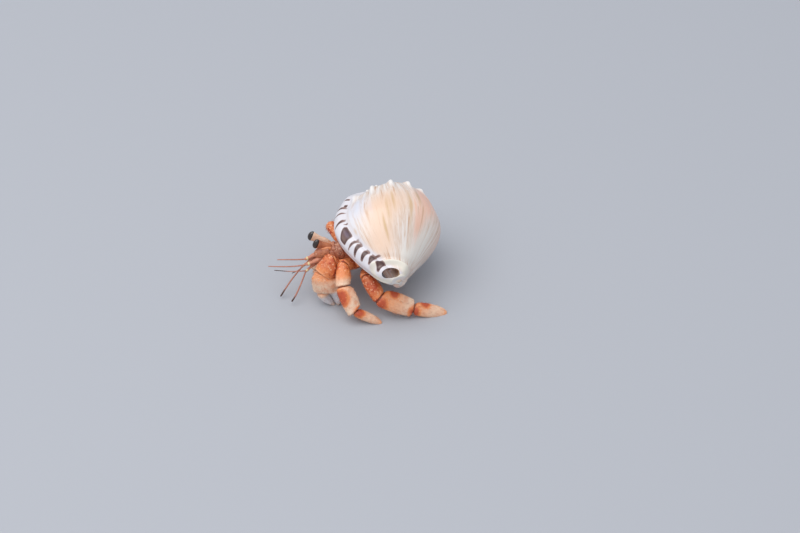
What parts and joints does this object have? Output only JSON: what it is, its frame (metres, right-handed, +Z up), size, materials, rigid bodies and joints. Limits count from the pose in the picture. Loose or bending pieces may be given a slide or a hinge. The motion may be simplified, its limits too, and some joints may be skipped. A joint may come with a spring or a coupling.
{
  "type": "hermit crab",
  "caption": "Life-size still model of a land hermit crab walking, its orange legs and claws out under a white bonnet shell with a dark-barred lip.",
  "frame": {"origin": "middle of the whole animal's floor plan, on the floor it stands on", "axes": "+Z up; the crab heads along -X and a little towards -Y; its shell's apex points to +Y"},
  "size_m": [0.0632, 0.0526, 0.037],
  "materials": {
    "sea_shell": "porcelain-like, satin, cream and white with brown bars on the lip",
    "crab_cuticle": "satin cuticle, orange to cream, fine bumps and short bristles",
    "soft_skin": "soft wrinkled skin",
    "feeler_cuticle": "fine-ringed satin cuticle",
    "cornea": "glossy near-black"
  },
  "bodies": {
    "root": {"shell": "sea_shell", "head_shield": "crab_cuticle", "thorax": "crab_cuticle", "abdomen": "soft_skin", "leg2_left_coxa": "crab_cuticle", "leg2_left_merus": "crab_cuticle", "leg2_left_carpus": "crab_cuticle", "leg2_left_propodus": "crab_cuticle", "leg2_left_dactyl": "crab_cuticle", "leg3_left_coxa": "crab_cuticle", "leg3_left_merus": "crab_cuticle", "leg3_left_carpus": "crab_cuticle", "leg3_left_propodus": "crab_cuticle", "leg3_left_dactyl": "crab_cuticle", "leg2_right_coxa": "crab_cuticle", "leg2_right_merus": "crab_cuticle", "leg2_right_carpus": "crab_cuticle", "leg2_right_propodus": "crab_cuticle", "leg2_right_dactyl": "crab_cuticle", "leg3_right_coxa": "crab_cuticle", "leg3_right_merus": "crab_cuticle", "leg3_right_carpus": "crab_cuticle", "leg3_right_propodus": "crab_cuticle", "leg3_right_dactyl": "crab_cuticle", "claw_left_coxa": "crab_cuticle", "claw_left_merus": "crab_cuticle", "claw_left_carpus": "crab_cuticle", "claw_right_coxa": "crab_cuticle", "claw_right_merus": "crab_cuticle", "claw_right_carpus": "crab_cuticle", "claw_left_palm": "crab_cuticle", "claw_left_finger": "crab_cuticle", "claw_right_palm": "crab_cuticle", "claw_right_finger": "crab_cuticle", "leg4_left": "crab_cuticle", "leg4_right": "crab_cuticle", "eyestalk_left": "crab_cuticle", "eye_left": "cornea", "eyestalk_right": "crab_cuticle", "eye_right": "cornea", "antenna_left_base": "feeler_cuticle", "antenna_left_whip": "feeler_cuticle", "antenna_right_base": "feeler_cuticle", "antenna_right_whip": "feeler_cuticle", "antennule_left_base": "feeler_cuticle", "antennule_left_whip": "feeler_cuticle", "antennule_right_base": "feeler_cuticle", "antennule_right_whip": "feeler_cuticle", "mouthpart_left": "crab_cuticle", "mouthpart_right": "crab_cuticle"}
  },
  "joints": []
}
